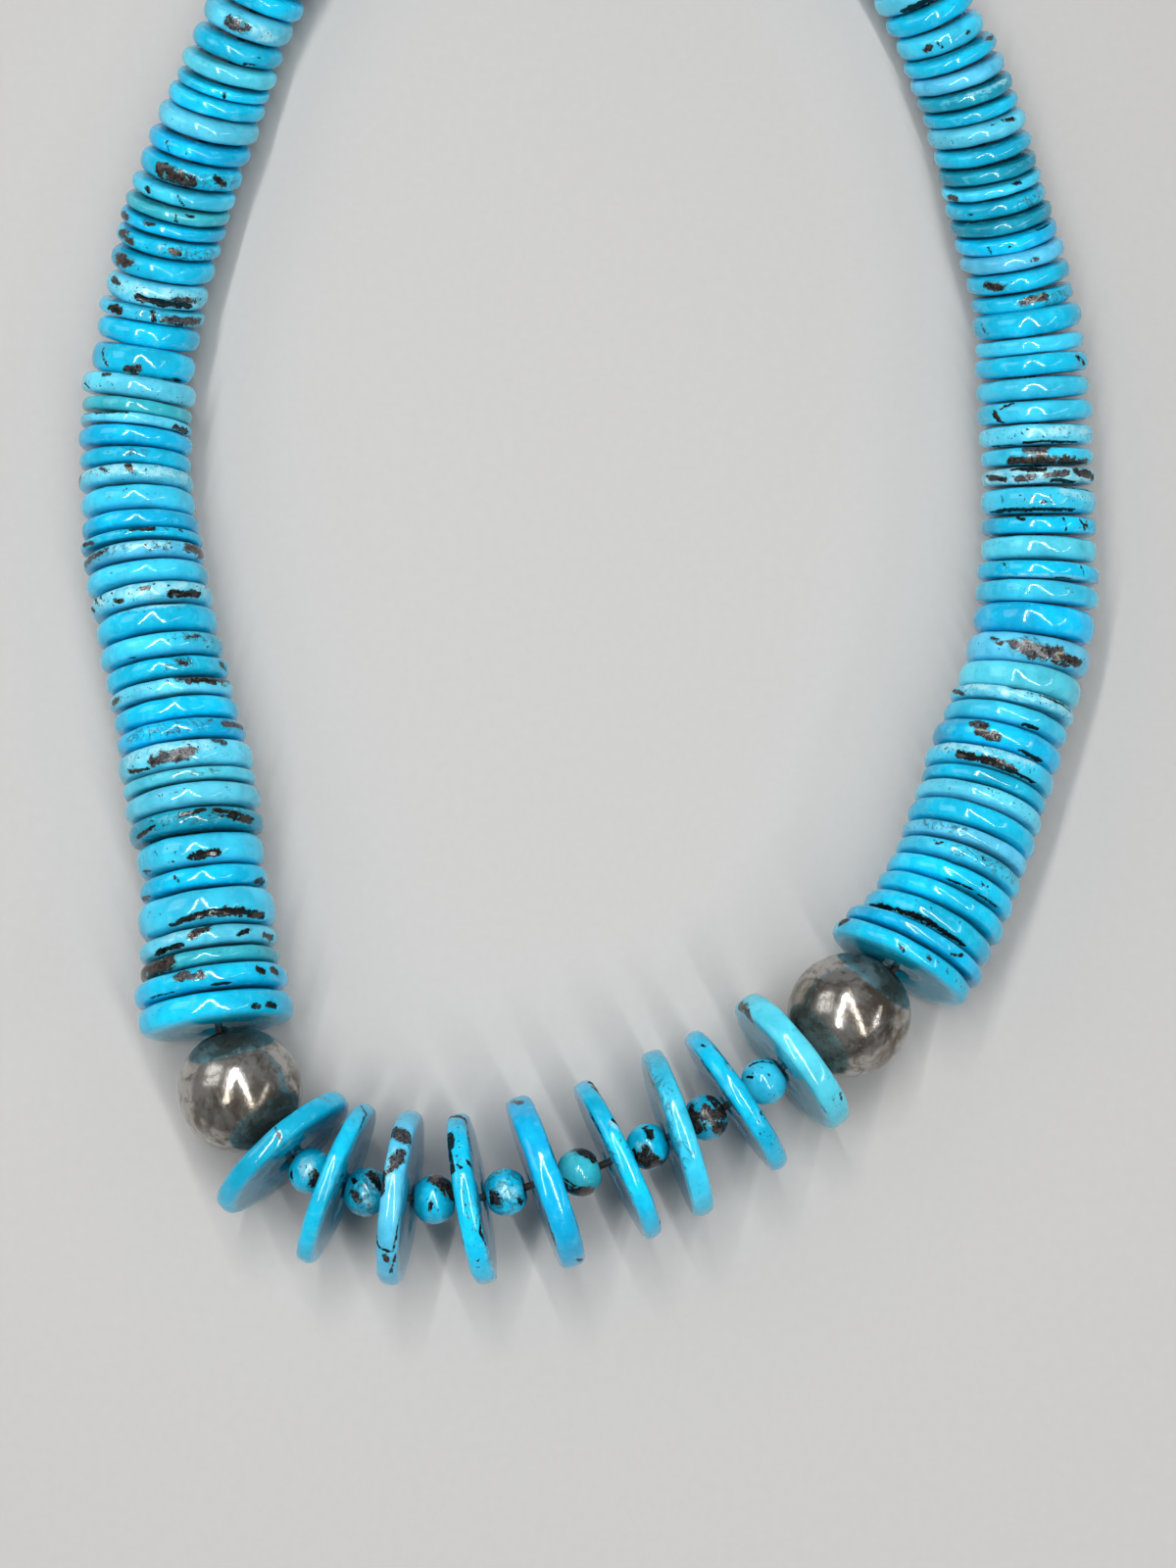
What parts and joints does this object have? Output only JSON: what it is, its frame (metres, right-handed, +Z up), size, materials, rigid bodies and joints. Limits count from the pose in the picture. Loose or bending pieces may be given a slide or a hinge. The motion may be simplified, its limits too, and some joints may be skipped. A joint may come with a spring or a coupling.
{
  "type": "disc bead necklace",
  "caption": "Closed loop of graduated flat stone discs strung face to face, with larger spaced discs and round beads at the front, two polished metal balls and a plain clasp behind.",
  "frame": {"origin": "middle of the bounding box in plan, on the surface that the necklace lies on", "axes": "+Z up from that surface, +Y from the large front discs to the clasp, +X to the wearer's left"},
  "size_m": [0.119, 0.187, 0.0201],
  "materials": {
    "turquoise": "polished, with dark matrix veins and pits",
    "silver": "polished silver, tarnished grey-brown",
    "thread": "waxed black thread"
  },
  "bodies": {
    "root": {"clasp": "silver", "front_disc_1": "turquoise", "front_disc_2": "turquoise", "front_disc_3": "turquoise", "front_disc_4": "turquoise", "front_disc_5": "turquoise", "front_disc_6": "turquoise", "front_disc_7": "turquoise", "front_disc_8": "turquoise", "front_disc_9": "turquoise", "left_disc_01": "turquoise", "left_disc_02": "turquoise", "left_disc_03": "turquoise", "left_disc_04": "turquoise", "left_disc_05": "turquoise", "left_disc_06": "turquoise", "left_disc_07": "turquoise", "left_disc_08": "turquoise", "left_disc_09": "turquoise", "left_disc_10": "turquoise", "left_run_1": "turquoise", "left_run_2": "turquoise", "left_run_3": "turquoise", "left_run_4": "turquoise", "left_run_5": "turquoise", "right_disc_01": "turquoise", "right_disc_02": "turquoise", "right_disc_03": "turquoise", "right_disc_04": "turquoise", "right_disc_05": "turquoise", "right_disc_06": "turquoise", "right_disc_07": "turquoise", "right_disc_08": "turquoise", "right_disc_09": "turquoise", "right_disc_10": "turquoise", "right_run_1": "turquoise", "right_run_2": "turquoise", "right_run_3": "turquoise", "right_run_4": "turquoise", "right_run_5": "turquoise", "silver_bead_left": "silver", "silver_bead_right": "silver", "small_bead_1": "turquoise", "small_bead_2": "turquoise", "small_bead_3": "turquoise", "small_bead_4": "turquoise", "small_bead_5": "turquoise", "small_bead_6": "turquoise", "small_bead_7": "turquoise", "small_bead_8": "turquoise", "thread": "thread"}
  },
  "joints": []
}
